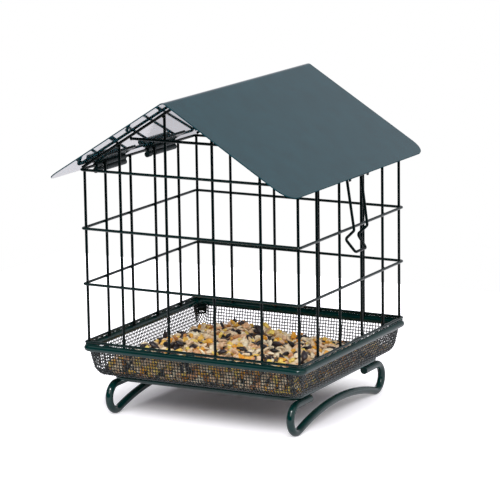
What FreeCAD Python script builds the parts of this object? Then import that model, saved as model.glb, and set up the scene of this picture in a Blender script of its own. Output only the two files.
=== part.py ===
import FreeCAD, Part
import Sketcher
import math
import os
import re
from FreeCAD import Vector

# A caged ground bird feeder: a mesh tray on two bent-rod feet, a wire cage on the tray's rim,
# and a folded sheet roof that is hinged on the cage's left eave wire and latched on the right.
# Millimetres. X runs along the front, Y from front to back, Z up. The origin is on the floor
# under the middle of the roof, and the cage stands cage_back behind that middle.

DRIVING = {
    "wire_d": 2.5,            # cage wire
    "weld_gap": 0.05,         # gap between pieces that are welded to each other
    "cage_back": 7.5,         # how far the cage stands behind the roof's middle
    "bar_pitch_x": 46,        # upright bars of the front and the back
    "bar_pitch_y": 43.5,      # upright bars of the two sides
    "bottom_rise": 5.4,       # rim to the cage's bottom ring
    "lower_rise": 58.1,       # rim to lower ring
    "ring_pitch": 50,         # lower ring to upper ring
    "eave_rise": 52.4,        # upper ring to eave ring
    "tie_rise": 31,           # eave ring to the gables' tie wires
    "foot_rod_d": 7,
    "foot_spread": 182,       # between the two feet
    "foot_height": 31.2,      # floor to the top of a foot's upper ends
    "foot_flat": 0.25,        # depth of the flat where a foot meets the floor
    "foot_reach": 79,         # middle of a foot to the middle of its C curve
    "foot_end": 54,           # middle of a foot to the tip of an upper end
    "foot_arch": 12,          # rise of a foot's middle run
    "base_rod_d": 5.5,
    "base_width": 182,        # base frame, between rod axes
    "base_depth": 166,
    "base_bend": 12,
    "tray_depth": 26.5,       # underside of the basket to the rim's axis
    "mesh_wall": 0.8,
    "mesh_round": 14,         # rounding of the basket's corners and bottom edges
    "rim_rod_d": 6,
    "rim_outset": 2.75,       # rim's axis outside the corner posts' axes
    "rim_bend": 5.5,
    "rim_gap": 0.45,          # between the rim and the basket inside it
    "tack_length": 4,         # welds between the rim and the bottom ring
    "tack_width": 1.6,
    "seed_gap": 0.3,          # between the seed and the basket
    "seed_level": 18.5,       # height of the heap along the front
    "seed_back": 5.5,         # height of the heap at the back wall
    "seed_left": 3,           # height of the heap at the left wall
    "seed_back_run": 130,     # length of the slope down to the back wall
    "seed_left_run": 34,      # length of the slope down to the left wall
    "roof_pitch": 32,         # degrees
    "roof_span": 240,         # across the eaves
    "roof_length": 270,       # along the ridge
    "eave_overhang": 15,      # eaves outside the corner posts' axes
    "gable_overhang": 35,     # roof's ends outside the corner posts' axes, front and back averaged
    "roof_sheet": 1,
    "roof_bend": 4,           # inside radius of the fold
    "roof_corner": 16,
    "roof_gap": 0.5,          # between the sheet and the rafters under it
    "leaf_wall": 1,           # sheet of the hinge clips and the latch bracket
    "roll_gap": 0.3,          # between a rolled sheet and the wire in it
    "clip_length": 50,
    "clip_reach": 16,         # leaf of a hinge clip, up the slope
    "clip_spacing": 90,       # between the middles of the two hinge clips
    "clip_slot": 7,           # slot in a clip's roll for the upright bar beside it
    "curl_d": 5.4,            # curled lower edge of a hinge clip
    "curl_drop": 4.4,         # eave wire to the middle of that edge
    "latch_offset": 5.2,      # right eave wire to the latch's pivot, down the slope
    "bracket_roll": 22,       # length of the bracket's roll
    "bracket_width": 38,
    "bracket_inset": 0.5,     # bracket's edge to the eave
    "ear_width": 3,
    "ear_drop": 3,
    "latch_half_top": 14,     # half widths of the latch loop at its four levels
    "latch_half_kink": 13.1,
    "latch_half_hook": 12.1,
    "latch_half_tip": 10.5,
    "kink_out": 6.8,          # pivot to kink
    "kink_drop": 48.2,
    "hook_in": 9,             # kink to hook
    "hook_drop": 8.5,
    "tip_out": 8.9,           # hook to finger bar
    "tip_drop": 11.1,
    "latch_bend": 2.6,        # bend radius of the latch wire's axis
    "latch_split": 0.6,       # between the latch wire's two ends, inside the roll
}

WORKED = {
    "foot_axis": "foot_height - foot_rod_d / 2",
    "foot_bend": "(foot_height + foot_flat - foot_rod_d) / 2",
    "foot_middle": "foot_axis - foot_bend",
    "foot_turn": "2 * atan(foot_arch / foot_reach)",
    "arch_radius": "foot_reach / sin(foot_turn) - foot_bend",
    "arch_axis": "foot_middle - (foot_bend + arch_radius) * cos(foot_turn)",
    "base_axis": "foot_height + weld_gap + base_rod_d / 2",
    "tray_base": "base_axis + base_rod_d / 2 + weld_gap",
    "rim_level": "tray_base + tray_depth",
    "bottom_level": "rim_level + bottom_rise",
    "lower_level": "rim_level + lower_rise",
    "upper_level": "lower_level + ring_pitch",
    "eave_level": "upper_level + eave_rise",
    "tie_level": "eave_level + tie_rise",
    "post_foot": "rim_level + rim_rod_d / 2 + weld_gap",
    "post_top": "eave_level + wire_d / 2",
    "post_x": "roof_span / 2 - eave_overhang",
    "post_y": "roof_length / 2 - gable_overhang",
    "ring_bend": "wire_d + weld_gap",
    "ring_x": "post_x + ring_bend",
    "ring_y": "post_y + ring_bend",
    "rim_x": "post_x + rim_outset",
    "rim_y": "post_y + rim_outset",
    "mesh_x": "rim_x - rim_rod_d / 2 - rim_gap",
    "mesh_y": "rim_y - rim_rod_d / 2 - rim_gap",
    "seed_x": "mesh_x - mesh_wall - seed_gap",
    "seed_y": "mesh_y - mesh_wall - seed_gap",
    "seed_base": "tray_base + mesh_wall + seed_gap",
    "seed_round": "mesh_round - mesh_wall - seed_gap",
    "roll_radius": "wire_d / 2 + roll_gap + leaf_wall",
    "leaf_lift": "roll_radius - leaf_wall - weld_gap",
    "roof_under": "eave_level + (roll_radius + weld_gap) / cos(roof_pitch) + ring_x * tan(roof_pitch)",
    "roof_top": "roof_under + roof_sheet / cos(roof_pitch)",
    "roof_eave": "roof_top - roof_span / 2 * tan(roof_pitch)",
    "roof_edge_x": "roof_span / 2 - roof_sheet * sin(roof_pitch)",
    "roof_edge_z": "roof_eave - roof_sheet * cos(roof_pitch)",
    "rafter_apex": "roof_under - (wire_d / 2 + roof_gap) / cos(roof_pitch)",
    "rafter_end": "(rafter_apex - post_top - weld_gap - wire_d / 2 * cos(roof_pitch)) / tan(roof_pitch)",
    "tie_top": "tie_level + wire_d / 2 + weld_gap + wire_d / 2 / cos(roof_pitch)",
    "tie_end": "(rafter_apex - tie_top) / tan(roof_pitch)",
    "pivot_x": "ring_x + latch_offset * cos(roof_pitch)",
    "pivot_z": "eave_level - latch_offset * sin(roof_pitch)",
    "bracket_end": "(roof_edge_x - pivot_x) / cos(roof_pitch) - roll_radius * tan(roof_pitch)",
    "bracket_reach": "bracket_end - bracket_inset",
    "ear_run": "bracket_reach - 2 * leaf_wall",
    "ear_x": "pivot_x + leaf_lift * sin(roof_pitch) + ear_run * cos(roof_pitch)",
    "ear_z": "pivot_z + leaf_lift * cos(roof_pitch) - ear_run * sin(roof_pitch)",
    "kink_x": "pivot_x + kink_out",
    "kink_z": "pivot_z - kink_drop",
    "hook_x": "kink_x - hook_in",
    "hook_z": "kink_z - hook_drop",
    "tip_x": "hook_x + tip_out",
    "tip_z": "hook_z - tip_drop",
}

SIZES = set(DRIVING) | set(WORKED)
ALONG = {"x": ((0, 1, 0), 90), "y": ((1, 0, 0), -90), "z": ((0, 0, 1), 0)}
ENDS = (("front", -1), ("back", 1))
SIDES = (("left", -1), ("right", 1))
BARS_PER_SIDE = 4
CLOSE = 1e-6

doc = FreeCAD.newDocument("bird_feeder")
sheet = doc.addObject("Spreadsheet::Sheet", "dims")
parts = []


def fill_sheet():
    """One row per size: driving sizes as plain numbers, then the sizes worked out from them."""
    rows = list(DRIVING.items()) + [(alias, "=" + text) for alias, text in WORKED.items()]
    for row, (alias, content) in enumerate(rows, start=1):
        sheet.set(f"A{row}", alias)
        sheet.set(f"B{row}", str(content))
        sheet.setAlias(f"B{row}", alias)
    doc.recompute()


def formula(text):
    """The text as an expression in which each size's name stands for its cell."""
    return re.sub(r"\b[a-z]\w*", lambda word: f"dims.{word[0]}" if word[0] in SIZES else word[0], str(text))


def size(text):
    """The present value of a formula, as a plain number."""
    value = sheet.evalExpression(formula(text))
    return float(getattr(value, "Value", value))


def bind(item, **values):
    for name, text in values.items():
        item.setExpression(name, formula(text))


def place(item, at, axis=(0, 0, 1), angle=0):
    """Puts an object at three formulas, turned about an axis by a formula in degrees."""
    point = "; ".join(str(value) for value in at)
    turn = "; ".join(str(value) for value in axis)
    text = f"placement(vector({point}); rotation(vector({turn}); {angle}))"
    item.setExpression("Placement", formula(text))


def part(item):
    """Counts an object as one of the feeder's pieces."""
    parts.append(item)
    return item


def from_cage(x, y, z):
    """A point whose Y is given from the cage's middle."""
    return (x, f"cage_back + ({y})", z)


def rod(name, diameter, length, start, along):
    """A straight round rod from its start point, along a named axis or turned by (axis, angle)."""
    item = doc.addObject("Part::Cylinder", name)
    bind(item, Radius=f"({diameter}) / 2", Height=length)
    axis, angle = ALONG.get(along, along)
    place(item, start, axis, angle)
    return item


def bend(name, diameter, radius, turn, middle, axis, angle):
    """A bent round rod: part of a ring that starts at its own X and turns about its own Z."""
    item = doc.addObject("Part::Torus", name)
    bind(item, Radius1=radius, Radius2=f"({diameter}) / 2", Angle3=turn)
    place(item, middle, axis, angle)
    return item


def box(name, sizes, at, axis=(0, 0, 1), angle=0):
    item = doc.addObject("Part::Box", name)
    bind(item, Length=sizes[0], Width=sizes[1], Height=sizes[2])
    place(item, at, axis, angle)
    return item


def fuse(name, pieces):
    item = doc.addObject("Part::MultiFuse", name)
    item.Shapes = pieces
    item.Refine = True
    return item


def cut(name, base, tool):
    item = doc.addObject("Part::Cut", name)
    item.Base = base
    item.Tool = tool
    return item


def rod_ring(name, diameter, half_x, half_y, level, radius):
    """A level rod, bent to a rectangle with rounded corners about the cage's middle."""
    run_x = f"(({half_x}) - {radius})"
    run_y = f"(({half_y}) - {radius})"
    pieces = []
    for side, sign in ENDS:
        start = from_cage(f"-{run_x}", f"{sign} * ({half_y})", level)
        pieces.append(rod(f"{name}_{side}", diameter, f"2 * {run_x}", start, "x"))
    for side, sign in SIDES:
        start = from_cage(f"{sign} * ({half_x})", f"-{run_y}", level)
        pieces.append(rod(f"{name}_{side}", diameter, f"2 * {run_y}", start, "y"))
    for quarter, (sign_x, sign_y) in enumerate(((1, 1), (-1, 1), (-1, -1), (1, -1))):
        middle = from_cage(f"{sign_x} * {run_x}", f"{sign_y} * {run_y}", level)
        corner = f"{name}_corner_{quarter + 1}"
        pieces.append(bend(corner, diameter, radius, 90, middle, (0, 0, 1), 90 * quarter))
    part(fuse(name, pieces))


def foot(name, x):
    """One bent rod: two upper ends, two C curves down to the floor, and the arched run between them."""
    pieces = []
    sweep_from_top = {"front": ((1, 0, 1), 180), "back": ((0, 1, 0), -90)}
    for side, sign in ENDS:
        axis, angle = sweep_from_top[side]
        start = from_cage(x, "foot_end" if sign > 0 else "-foot_reach", "foot_axis")
        pieces.append(rod(f"{name}_{side}_end", "foot_rod_d", "foot_reach - foot_end", start, "y"))
        pieces.append(bend(f"{name}_{side}_curve", "foot_rod_d", "foot_bend", "180 deg + foot_turn",
                           from_cage(x, f"{sign} * foot_reach", "foot_middle"), axis, angle))
        pieces.append(bend(f"{name}_{side}_arch", "foot_rod_d", "arch_radius", "foot_turn",
                           from_cage(x, 0, "arch_axis"), axis, angle))
    floor = box(f"{name}_floor", ("4 * foot_rod_d", "4 * foot_reach", "foot_rod_d"),
                from_cage(f"{x} - 2 * foot_rod_d", "-2 * foot_reach", "-foot_rod_d"))
    part(cut(name, fuse(f"{name}_rod", pieces), floor))


def sketch_on(body, role):
    """An empty sketch on one of a body's own origin planes."""
    sketch = body.newObject("Sketcher::SketchObject", f"{body.Name}_sketch")
    plane = next(item for item in body.Origin.OriginFeatures if item.Role == role)
    sketch.AttachmentSupport = (plane, [""])
    sketch.MapMode = "FlatFace"
    return sketch


def outline(sketch, points):
    """A closed outline of straight lines through points that are pairs of formulas."""
    first = sketch.GeometryCount
    count = len(points)
    values = [Vector(size(x), size(y), 0) for x, y in points]
    for index, start in enumerate(values):
        sketch.addGeometry(Part.LineSegment(start, values[(index + 1) % count]), False)
    for index in range(count):
        follower = first + (index + 1) % count
        sketch.addConstraint(Sketcher.Constraint("Coincident", first + index, 2, follower, 1))
    for line, (point, value) in enumerate(zip(points, values), start=first):
        pin(sketch, line, "DistanceX", -2, point[0], value.x)
        pin(sketch, line, "DistanceY", -1, point[1], value.y)


def pin(sketch, line, kind, axis, text, value):
    """Holds a line's start at a formula's distance from an axis, or on the axis itself."""
    if text == "0":
        sketch.addConstraint(Sketcher.Constraint("PointOnObject", line, 1, axis))
        return
    spot = sketch.addConstraint(Sketcher.Constraint(kind, -1, 1, line, 1, value))
    sketch.setExpression(f"Constraints[{spot}]", formula(text))


def rectangle(half_x, half_y):
    return [(f"{x} * ({half_x})", f"{y} * ({half_y})") for x, y in ((-1, -1), (1, -1), (1, 1), (-1, 1))]


def pad(body, sketch, length, midplane=False):
    item = body.newObject("PartDesign::Pad", f"{body.Name}_pad")
    item.Profile = sketch
    item.Midplane = midplane
    bind(item, Length=length)
    doc.recompute()
    return item


def fillet(body, base, chosen, radius):
    """Rounds the edges of a feature that pass a test."""
    edges = [f"Edge{number}" for number, edge in enumerate(base.Shape.Edges, start=1) if chosen(edge)]
    item = body.newObject("PartDesign::Fillet", f"{body.Name}_fillet")
    item.Base = (base, edges)
    bind(item, Radius=radius)
    doc.recompute()
    return item


def runs_along(edge, axis):
    """Whether an edge is straight and parallel to an axis."""
    start, end = edge.Vertexes[0].Point, edge.Vertexes[-1].Point
    return abs(abs((end - start).dot(axis)) - edge.Length) < CLOSE


def rounded_block(name, half_x, half_y, height, radius):
    """A body that stands on its own XY plane, with rounded corners and bottom edges."""
    body = doc.addObject("PartDesign::Body", name)
    sketch = sketch_on(body, "XY_Plane")
    outline(sketch, rectangle(half_x, half_y))
    block = pad(body, sketch, height)
    up = Vector(0, 0, 1)
    return body, fillet(body, block, lambda edge: runs_along(edge, up) or edge.BoundBox.ZMax < CLOSE, radius)


def basket():
    """The mesh basket, as one thin wall that is open at the top."""
    body, block = rounded_block("tray_mesh", "mesh_x", "mesh_y", "tray_depth", "mesh_round")
    faces = block.Shape.Faces
    top = max(range(len(faces)), key=lambda index: faces[index].CenterOfMass.z)
    wall = body.newObject("PartDesign::Thickness", "tray_wall")
    wall.Base = (block, [f"Face{top + 1}"])
    wall.Reversed = True
    bind(wall, Value="mesh_wall")
    place(body, from_cage(0, 0, "tray_base"))
    part(body)


def slope(name, plane, profile, width):
    """A block with a sloping top: a profile on one of its own upright planes, padded to both sides."""
    body = doc.addObject("PartDesign::Body", name)
    sketch = sketch_on(body, plane)
    outline(sketch, profile)
    pad(body, sketch, width, midplane=True)
    return body


def seed_heap():
    """The seed: level along the front, sloping down to the back and to the left, inside the basket."""
    space, _ = rounded_block("seed_space", "seed_x", "seed_y", "tray_depth", "seed_round")
    to_back = slope("seed_to_back", "YZ_Plane",
                    [("-seed_y", "0"), ("seed_y", "0"), ("seed_y", "seed_back"),
                     ("seed_y - seed_back_run", "seed_level"), ("-seed_y", "seed_level")], "2 * seed_x")
    to_left = slope("seed_to_left", "XZ_Plane",
                    [("-seed_x", "0"), ("seed_x", "0"), ("seed_x", "seed_level"),
                     ("seed_left_run - seed_x", "seed_level"), ("-seed_x", "seed_left")], "2 * seed_y")
    heap = doc.addObject("Part::MultiCommon", "seed_fill")
    heap.Shapes = [space, to_back, to_left]
    for item in heap.Shapes:
        place(item, from_cage(0, 0, "seed_base"))
    part(heap)


def tack_welds():
    """A small weld in the middle of each side, between the rim and the cage's bottom ring."""
    height = "bottom_level - wire_d / 2 - weld_gap - post_foot"
    for end, sign in ENDS:
        at = from_cage("-tack_length / 2", f"{sign} * ring_y - tack_width / 2", "post_foot")
        part(box(f"tack_weld_{end}", ("tack_length", "tack_width", height), at))
    for side, sign in SIDES:
        at = from_cage(f"{sign} * ring_x - tack_width / 2", "-tack_length / 2", "post_foot")
        part(box(f"tack_weld_{side}", ("tack_width", "tack_length", height), at))


def uprights():
    """Corner posts and side bars up to the eave ring, and end bars up to the rafters."""
    height = "post_top - post_foot"
    steps = [number - (BARS_PER_SIDE - 1) / 2 for number in range(BARS_PER_SIDE)]
    for end, sign_y in ENDS:
        for side, sign_x in SIDES:
            start = from_cage(f"{sign_x} * post_x", f"{sign_y} * post_y", "post_foot")
            part(rod(f"corner_post_{end}_{side}", "wire_d", height, start, "z"))
        for number, step in enumerate(steps, start=1):
            reach = f"rafter_apex - ({abs(step)} * bar_pitch_x + wire_d / 2) * tan(roof_pitch) - post_foot"
            start = from_cage(f"{step} * bar_pitch_x", f"{sign_y} * post_y", "post_foot")
            part(rod(f"{end}_bar_{number}", "wire_d", reach, start, "z"))
    for side, sign_x in SIDES:
        for number, step in enumerate(steps, start=1):
            start = from_cage(f"{sign_x} * post_x", f"{step} * bar_pitch_y", "post_foot")
            part(rod(f"{side}_bar_{number}", "wire_d", height, start, "z"))


def gables():
    """At each end a rafter wire, bent at the ridge, and a tie wire under it."""
    for end, sign in ENDS:
        y = f"{sign} * ring_y"
        apex = from_cage(0, y, "rafter_apex")
        crown = doc.addObject("Part::Sphere", f"{end}_rafter_crown")
        bind(crown, Radius="wire_d / 2")
        place(crown, apex)
        legs = [rod(f"{end}_rafter_{side}", "wire_d", "rafter_end / cos(roof_pitch)", apex,
                    ((0, 1, 0), f"{sign_x} * (90 + roof_pitch)")) for side, sign_x in SIDES]
        part(fuse(f"{end}_rafter", [*legs, crown]))
        part(rod(f"{end}_tie", "wire_d", "2 * tie_end", from_cage("-tie_end", y, "tie_level"), "x"))


def roof():
    """One sheet, folded along the ridge, with its four corners rounded."""
    body = doc.addObject("PartDesign::Body", "roof_panel")
    sketch = sketch_on(body, "XZ_Plane")
    outline(sketch, [("0", "roof_top"), ("roof_span / 2", "roof_eave"), ("roof_edge_x", "roof_edge_z"),
                     ("0", "roof_under"), ("-roof_edge_x", "roof_edge_z"), ("-roof_span / 2", "roof_eave")])
    folded = pad(body, sketch, "roof_length", midplane=True)
    top, sheet_wall, edge_x = size("roof_top"), size("roof_sheet"), size("roof_edge_x")
    ridge = Vector(0, 1, 0)

    def fold_outside(edge):
        return runs_along(edge, ridge) and abs(edge.Vertexes[0].Z - top) < CLOSE

    def fold_inside(edge):
        return runs_along(edge, ridge) and abs(edge.Vertexes[0].X) < CLOSE

    def corner(edge):
        return abs(edge.Length - sheet_wall) < CLOSE and abs(edge.Vertexes[0].X) > edge_x - CLOSE

    bent = fillet(body, folded, fold_outside, "roof_bend + roof_sheet")
    bent = fillet(body, bent, fold_inside, "roof_bend")
    fillet(body, bent, corner, "roof_corner")
    part(body)


def rolled_leaf(name, pivot, roll_length, leaf, turn):
    """A roll round a wire along Y, and a flat leaf from it: down to the right for turn 1, up for -1."""
    x, y, z = pivot
    reach, width = leaf
    roll = rod(f"{name}_roll", "2 * roll_radius", roll_length, (x, f"{y} - {roll_length} / 2", z), "y")
    plate = box(f"{name}_leaf", (reach, width, "leaf_wall"),
                (f"{x} + {turn} * leaf_lift * sin(roof_pitch)", f"{y} - {width} / 2",
                 f"{z} + leaf_lift * cos(roof_pitch)"), (0, 1, 0), f"{turn} * roof_pitch")
    return [roll, plate]


def roll_bore(name, pivot, roll_length):
    """The hole through a roll, a little longer than the roll."""
    x, y, z = pivot
    return rod(f"{name}_bore", "wire_d + 2 * roll_gap", f"{roll_length} + 2 * leaf_wall",
               (x, f"{y} - {roll_length} / 2 - leaf_wall", z), "y")


def hinge_clip(name, y, bar_step):
    """A clip rolled round the left eave wire, its lower edge curled, slotted for the bar beside it."""
    pivot = ("-ring_x", y, "eave_level")
    pieces = rolled_leaf(name, pivot, "clip_length", ("clip_reach", "clip_length"), -1)
    pieces.append(rod(f"{name}_curl", "curl_d", "clip_length",
                      ("-ring_x", f"{y} - clip_length / 2", "eave_level - curl_drop"), "y"))
    reach = "(curl_drop + curl_d / 2 + leaf_wall)"
    slot = box(f"{name}_slot", (f"2 * {reach}", "clip_slot", f"{reach} + wire_d / 2 + roll_gap"),
               (f"-ring_x - {reach}", f"cage_back + {bar_step} * bar_pitch_y - clip_slot / 2",
                f"eave_level - {reach}"))
    opening = fuse(f"{name}_opening", [roll_bore(name, pivot, "clip_length"), slot])
    part(cut(name, fuse(f"{name}_blank", pieces), opening))


def latch_bracket():
    """A leaf under the right eave, with a roll for the latch and two ears that hang below the eave."""
    name = "latch_bracket"
    pivot = ("pivot_x", "0", "pivot_z")
    pieces = rolled_leaf(name, pivot, "bracket_roll", ("bracket_reach", "bracket_width"), 1)
    for side, y in (("front", "-bracket_width / 2"), ("back", "bracket_width / 2 - ear_width")):
        pieces.append(box(f"{name}_ear_{side}", ("leaf_wall", "ear_width", "ear_drop + leaf_wall / 2"),
                          ("ear_x", y, "ear_z - ear_drop")))
    part(cut(name, fuse(f"{name}_blank", pieces), roll_bore(name, pivot, "bracket_roll")))


def bent_wire(points, bend_radius, wire_radius):
    """A round wire along straight runs between points, with a round bend at each point inside."""
    edges = []
    start = points[0]
    for before, corner, after in zip(points, points[1:], points[2:]):
        back = (before - corner).normalize()
        onward = (after - corner).normalize()
        half_angle = back.getAngle(onward) / 2
        reach = bend_radius / math.tan(half_angle)
        first, last = corner + back * reach, corner + onward * reach
        inset = bend_radius / math.sin(half_angle) - bend_radius
        middle = corner + (back + onward).normalize() * inset
        edges += [Part.makeLine(start, first), Part.Arc(first, middle, last).toShape()]
        start = last
    edges.append(Part.makeLine(start, points[-1]))
    circle = Part.makeCircle(wire_radius, points[0], points[1] - points[0])
    return Part.Wire(edges).makePipeShell([Part.Wire(circle)], True, True)


def latch_wire():
    """The latch: a wire bent in three directions to a loop, whose two ends meet inside the bracket's roll."""
    half_path = [("pivot_x", "latch_split / 2", "pivot_z"), ("pivot_x", "latch_half_top", "pivot_z"),
                 ("kink_x", "latch_half_kink", "kink_z"), ("hook_x", "latch_half_hook", "hook_z"),
                 ("tip_x", "latch_half_tip", "tip_z")]
    back_half = [Vector(size(x), size(y), size(z)) for x, y, z in half_path]
    front_half = [Vector(point.x, -point.y, point.z) for point in back_half]
    item = doc.addObject("Part::Feature", "latch_wire")
    item.Shape = bent_wire(front_half + back_half[::-1], size("latch_bend"), size("wire_d / 2"))
    part(item)


def check_document():
    """Stops at the first object that failed, or piece that is not a sound solid."""
    doc.recompute()
    for item in doc.Objects:
        if "Invalid" in item.State or "Error" in item.State:
            raise RuntimeError(f"{item.Label}: {item.State}")
    for item in parts:
        if item.Shape.isNull() or not item.Shape.isValid() or len(item.Shape.Solids) != 1:
            raise RuntimeError(f"{item.Label} is not one sound solid")


def write_parts():
    os.makedirs("parts", exist_ok=True)
    for item in parts:
        item.Shape.exportStep(f"parts/{item.Label}.step")


fill_sheet()
foot("foot_left", "-foot_spread / 2")
foot("foot_right", "foot_spread / 2")
rod_ring("base_frame", "base_rod_d", "base_width / 2", "base_depth / 2", "base_axis", "base_bend")
basket()
rod_ring("tray_rim", "rim_rod_d", "rim_x", "rim_y", "rim_level", "rim_bend")
tack_welds()
seed_heap()
uprights()
for level in ("bottom", "lower", "upper", "eave"):
    rod_ring(f"{level}_ring", "wire_d", "ring_x", "ring_y", f"{level}_level", "ring_bend")
gables()
roof()
hinge_clip("hinge_clip_front", "-clip_spacing / 2", -1.5)
hinge_clip("hinge_clip_back", "clip_spacing / 2", 0.5)
latch_bracket()
latch_wire()
check_document()
write_parts()
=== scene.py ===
"""The looks of a caged ground bird feeder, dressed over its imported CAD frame.

Lengths are metres in the CAD frame: X runs along the front, Y from front to back, Z up.
Run as a script, it registers its settings and operators, calls the operators in order and leaves
a woven tray, its seed, the welds, the coating on the metal and a plain studio stage.
"""

import math
from functools import partial
from typing import NamedTuple

import bpy
import numpy as np
from bpy.props import FloatProperty, FloatVectorProperty, IntProperty, PointerProperty
from mathutils import Matrix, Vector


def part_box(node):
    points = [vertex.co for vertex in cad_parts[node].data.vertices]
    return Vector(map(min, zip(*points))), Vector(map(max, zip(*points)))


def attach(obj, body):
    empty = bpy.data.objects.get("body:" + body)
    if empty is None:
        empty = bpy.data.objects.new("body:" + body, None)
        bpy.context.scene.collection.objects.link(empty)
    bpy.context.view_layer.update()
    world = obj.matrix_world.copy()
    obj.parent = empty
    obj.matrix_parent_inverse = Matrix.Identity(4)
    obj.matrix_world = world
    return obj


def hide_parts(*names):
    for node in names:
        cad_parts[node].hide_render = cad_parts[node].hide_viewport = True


bl_info = {
    "name": "Caged Ground Bird Feeder",
    "version": (1, 0, 0),
    "blender": (4, 5, 0),
    "location": "View3D > Sidebar > Feeder",
    "description": "Woven seed tray, seed mix, welds, coating and stage for a caged bird feeder",
    "category": "Object",
}

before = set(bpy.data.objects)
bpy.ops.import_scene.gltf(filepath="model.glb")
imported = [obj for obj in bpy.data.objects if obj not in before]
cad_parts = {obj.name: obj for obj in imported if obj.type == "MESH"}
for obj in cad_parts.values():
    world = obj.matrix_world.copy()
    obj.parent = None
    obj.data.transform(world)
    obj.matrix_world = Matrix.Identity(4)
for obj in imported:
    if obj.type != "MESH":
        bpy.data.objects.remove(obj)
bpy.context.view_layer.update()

MM = 0.001
QUARTER_TURN, FULL_TURN = math.pi / 2, 2 * math.pi
TRAY_LOW, TRAY_HIGH = (np.array(corner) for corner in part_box("tray_mesh"))
TRAY_MIDDLE = (TRAY_LOW + TRAY_HIGH) / 2
TRAY_HALF = (TRAY_HIGH - TRAY_LOW) / 2
RINGS = ("bottom_ring", "lower_ring", "upper_ring", "eave_ring")
RODS = ("tray_rim", "base_frame", "foot_left", "foot_right")
CLIPS = ("hinge_clip_front", "hinge_clip_back")
ENDS = (("front", -1), ("back", 1))
SIDES = (("left", -1), ("right", 1))
BARS = range(1, 5)
TACK_OUTS = {"front": (0, -1, 0), "back": (0, 1, 0), "left": (-1, 0, 0), "right": (1, 0, 0)}

# The woven tray and its tabs
ROUND = 2  # power of a corner's outline that makes it a circle
SQUARE_FROM, SQUARE_TO = 0.1, 0.6  # shares of the tray's depth between which its corners turn square
FLARE_FROM = 0.35  # share of the depth at which the mesh starts to lean out
LEAST_STRETCH = 0.02  # in pitches; a shorter stretch of wire is left out
WEAVE_DEPTH = 2.1  # in wires, from the outside of the mesh to its inside
TAB_THICK, TAB_LIP = 0.9 * MM, 1.5 * MM  # a tab's sheet, and what is left of it below the slot

# The heap of seed; each pair is where a smooth step starts and where it ends
FALL = (-35 * MM, 90 * MM)  # behind the tray's middle: the fall to the back level
MOUND_LEFT, MOUND_REACH = 52 * MM, 28 * MM  # the mound's place left of the middle, and its reach
MOUND_RISE = (20 * MM, 80 * MM)  # behind the middle: the rise of the mound
LEFT_RISE = (2 * MM, 36 * MM)  # from the left wall: the rise from the left level
HOLLOW, HOLLOW_END = 5 * MM, (10 * MM, 30 * MM)  # the sink in the front left corner, and its end
CORE_INSET, CORE_LEAST = 6 * MM, 0.5 * MM  # the core's distance from the walls, its least thickness
CORE_STEPS, CORE_LIFT = 61, 4  # grid lines each way, and wires between the mesh's outside and the core

# The loose seeds
LINING_INSET, LINING_COVER = 3.6 * MM, 1 * MM  # from the mesh's outside, and below the heap's level
LINING_SCATTER = 0.45  # in spacings, each way
LINING_LEAN, DROP_LEAN = 0.18, 0.24  # spread of the normals of lining seeds and of dropped seeds
DROP_CELL, DROP_REACH = 1 * MM, 7  # the grid of heights goes by millimetres; cells that a seed reaches
DROP_WALL, DROP_FLOOR = 4 * MM, 2 * MM  # kept clear at the walls and at the floor
REST_SHARE = 0.7  # of the ground under a seed, which stays below the height that it rests on
REST_LIFT, CAP_LIFT = 0.35, 0.5  # in thicknesses: rest to a seed's middle, and middle to its top
STEEP = 0.5  # upright part of a normal; a seed with less of it lies against a wall
SEED_SPREAD, TONE_POWER = (0.82, 1.15), 1.5  # a seed's size in its kind's, and its lean to pale tones

# Welds and the coating in the slit above the rim
BEAD_RINGS, BEAD_SIDES = 5, 8  # rings of points in a bead, and points round each
BEAD_SPREAD = (0.85, 1.15)  # a bead's size in the settings'
TACK_ALONG, TACK_ACROSS = 3 * MM, 1.7 * MM  # half sizes of a tack weld's bead
RING_BEND = np.radians(np.arange(-75, 0, 15))  # points round a ring's corner
RUN_STEP = 0.7 * MM  # between the outlines that carry the coating round
RUN_SHARES = (0.1, 1.15)  # the least and the most of the slit that coating fills
RUN_FOOT, RUN_WIDE = 0.3, 0.35  # sunk into the rim, in slits, and half across, in wires

# Finishes; scales are in patterns to a metre
FULL_GLOSS = 0.5  # a shader's usual specular level
FINE_MOTTLE, FINE_RIPPLE = 0.6, 0.04  # share of the mottle and strength of the ripples on thin wire
FLAT_MOTTLE, FLAT_RIPPLE = 0.5, 0.02  # and on the roof's sheet
RIPPLE, PEEL_DEPTH = 0.12, 0.1 * MM  # strength and height of the orange peel
DRIFT_SCALE, MOTTLE_GAIN = 70.0, 4.0  # the slow drift, and how much more it shows in shade than in gloss
EDGE_UPRIGHT, FACE_UPRIGHT = 0.6, 0.75  # upright part of the normal on the roof's edges and faces
GRAIN_SCALE, GRAIN_SPREAD = 420.0, 0.9  # a seed's grain, and how much of its tone it shifts
GRAIN_BUMP, GRAIN_DEPTH = 0.4, 0.4 * MM  # strength and height of the grain
CORE_SCALE, CORE_ROUGH = 170.0, 0.7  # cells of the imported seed, and their roughness
CORE_BUMP, CORE_DEPTH = 0.8, 1 * MM  # strength and height of those cells
CORE_MIX = {"husk_deep": 0.0, "wheat": 0.3, "maize_deep": 0.45, "nut_deep": 0.55, "heart_deep": 0.7}
# painted shade: the gaps between packed seeds are coloured dark where shade falls between them
GAP_WIDE, GAP_PAINTED_SHADE = 0.18, (0.02, 0.012, 0.008, 1)  # the gaps' half width in cells, and their shade

# The stage
WHITE = (1, 1, 1, 1)
FLOOR_ROUGH = 0.9
BACKDROP = (0.0, 0.7)  # backward part of a direction, between the dim room and the full backdrop
CEILING = (0.05, 0.6)  # upward part of a direction, between the full backdrop and the dim ceiling


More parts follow.
